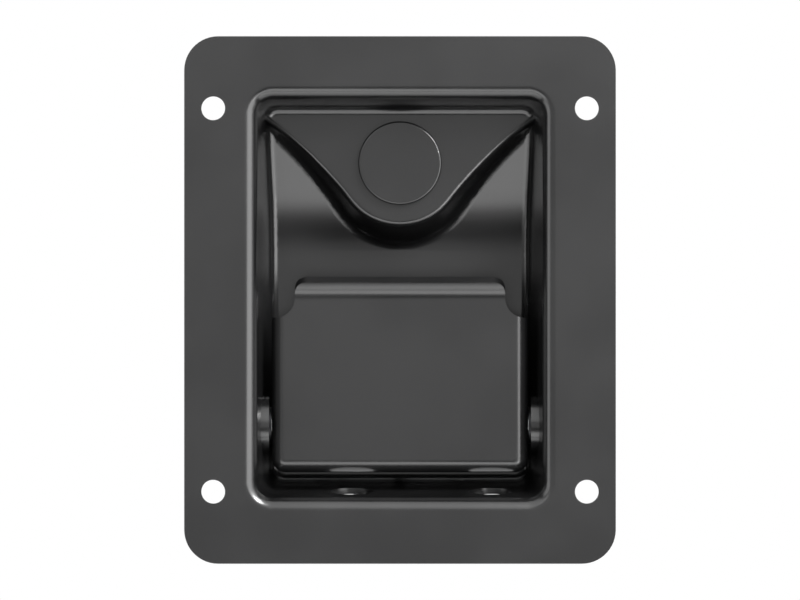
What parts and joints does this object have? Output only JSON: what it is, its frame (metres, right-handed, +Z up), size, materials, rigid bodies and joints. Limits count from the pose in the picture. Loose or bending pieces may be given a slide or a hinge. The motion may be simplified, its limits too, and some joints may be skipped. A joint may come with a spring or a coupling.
{
  "type": "flush paddle handle latch",
  "caption": "Black pressed flush paddle latch: rounded flange with four screw holes, deep pan with a raised V boss and round lock plug, a sprung pull paddle and a sliding slam bolt behind.",
  "frame": {"origin": "centre of the four screw holes, on the flange's back face", "axes": "+X to the right seen from the front, +Y into the door, +Z up"},
  "size_m": [0.1142, 0.0447, 0.1396],
  "materials": {
    "black_coat": "satin black coat",
    "zinc_steel": "bright zinc plate",
    "spring_steel": "oiled spring steel",
    "rivet_steel": "plated rivet steel"
  },
  "bodies": {
    "pan_body": {"pan": "black_coat", "lock_plug": "black_coat", "pivot_pin": "zinc_steel", "pivot_push_nut": "spring_steel", "washer_left": "zinc_steel", "washer_right": "zinc_steel", "sleeve_left": "zinc_steel", "sleeve_right": "zinc_steel", "latch_housing": "zinc_steel", "bolt_spring": "spring_steel", "lock_plug_clip": "spring_steel", "housing_rivet_1": "rivet_steel", "housing_rivet_2": "rivet_steel", "housing_rivet_3": "rivet_steel", "housing_rivet_4": "rivet_steel"},
    "paddle_body": {"paddle": "black_coat", "trip_lever": "zinc_steel", "torsion_spring_left": "spring_steel", "torsion_spring_right": "spring_steel"},
    "bolt_body": {"slam_bolt": "zinc_steel", "bolt_stem": "zinc_steel", "stem_clip": "spring_steel"}
  },
  "joints": [
    {"name": "paddle_pivot", "type": "hinge", "parent": "pan_body", "child": "paddle_body", "pos_m": [0, 0.0154, -0.0337], "axis": [1, 0, 0], "range_deg": [0, 35], "stiffness_Nm_per_rad": 0.15, "springref_deg": -20.05},
    {"name": "bolt_slide", "type": "slide", "parent": "pan_body", "child": "bolt_body", "axis": [0, 0, 1], "range_m": [0, 0.0126], "stiffness_N_per_m": 300, "springref_m": -0.01, "deforming": ["bolt_spring"]}
  ],
  "couplings": [
    {"joint": "paddle_pivot", "follows": "bolt_slide", "rad_per_m": 48.4}
  ]
}
